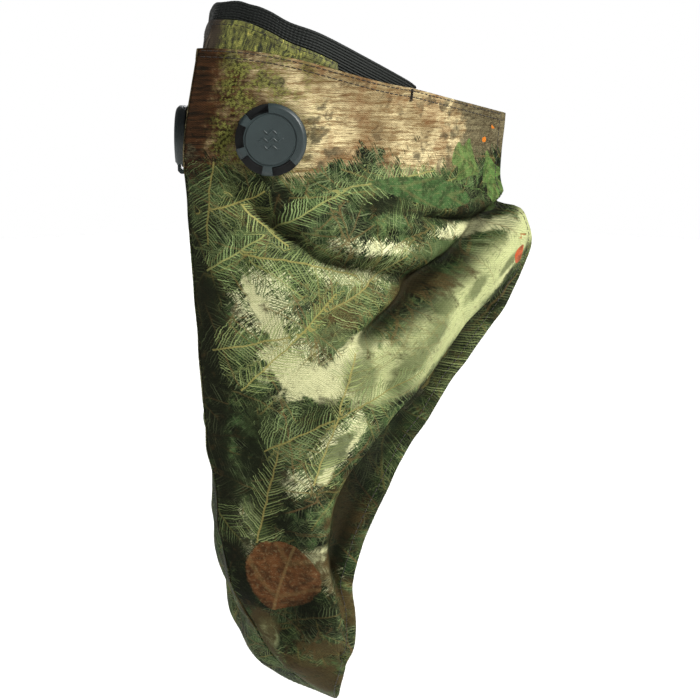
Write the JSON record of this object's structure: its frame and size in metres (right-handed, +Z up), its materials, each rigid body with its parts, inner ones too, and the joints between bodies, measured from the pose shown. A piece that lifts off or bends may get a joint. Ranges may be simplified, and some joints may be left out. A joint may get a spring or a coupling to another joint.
{
  "type": "camouflage half-face mask",
  "caption": "Camouflage cloth half-face mask with a hanging neck drape, an elastic nose band, fastening wings and two round exhale valves.",
  "frame": {"origin": "middle of the wearer's head at the height of the valve centres, on the mask's mirror plane, 101.5 mm behind the front ridge", "axes": "+Z up, +Y towards the back of the head, +X towards the wearer's left"},
  "size_m": [0.1364, 0.2214, 0.4293],
  "materials": {
    "camo_cloth": "printed matt knit",
    "seam_tape": "matt woven tape",
    "filter_cloth": "matt carbon felt",
    "elastic": "ribbed woven elastic",
    "hook_and_loop": "matt nylon",
    "thread": "satin thread",
    "cap_plastic": "satin moulded",
    "inner_plastic": "matt moulded",
    "silicone": "smooth",
    "aluminium": "rolled strip"
  },
  "bodies": {
    "root": {"shell_left_front": "camo_cloth", "shell_right_front": "camo_cloth", "front_seam_tape": "seam_tape", "filter_pad": "filter_cloth", "nose_cover": "camo_cloth", "elastic_band": "elastic", "nose_wire": "aluminium", "nose_wire_sleeve": "seam_tape", "left_bar_tack": "thread", "right_bar_tack": "thread", "left_valve_base": "inner_plastic", "left_valve_gasket": "silicone", "left_valve_ring_nut": "inner_plastic", "right_valve_base": "inner_plastic", "right_valve_gasket": "silicone", "right_valve_ring_nut": "inner_plastic"},
    "left_wing": {"shell_left_wing": "camo_cloth", "hook_tab": "hook_and_loop"},
    "right_wing": {"shell_right_wing": "camo_cloth", "loop_tab": "hook_and_loop"},
    "left_valve_cap": {"left_valve_cap": "cap_plastic"},
    "right_valve_cap": {"right_valve_cap": "cap_plastic"},
    "left_valve_flap": {"left_valve_flap": "silicone"},
    "right_valve_flap": {"right_valve_flap": "silicone"}
  },
  "joints": [
    {"name": "left_valve_cap_twist", "type": "hinge", "parent": "root", "child": "left_valve_cap", "pos_m": [0.034, -0.068, 0], "axis": [0.7071, -0.7071, 0], "range_deg": [0, 60]},
    {"name": "left_valve_flap_lift", "type": "slide", "parent": "root", "child": "left_valve_flap", "axis": [0.7071, -0.7071, 0], "range_m": [0, 0.0012], "stiffness_N_per_m": 20},
    {"name": "right_valve_cap_twist", "type": "hinge", "parent": "root", "child": "right_valve_cap", "pos_m": [-0.034, -0.068, 0], "axis": [-0.7071, -0.7071, 0], "range_deg": [0, 60]},
    {"name": "right_valve_flap_lift", "type": "slide", "parent": "root", "child": "right_valve_flap", "axis": [-0.7071, -0.7071, 0], "range_m": [0, 0.0012], "stiffness_N_per_m": 20},
    {"name": "left_wing_swing", "type": "hinge", "parent": "root", "child": "left_wing", "pos_m": [0.064, 0.028, -0.05], "axis": [0, 0, 1], "range_deg": [-25, 25]},
    {"name": "right_wing_swing", "type": "hinge", "parent": "root", "child": "right_wing", "pos_m": [-0.064, 0.028, -0.05], "axis": [0, 0, -1], "range_deg": [-25, 25]}
  ]
}
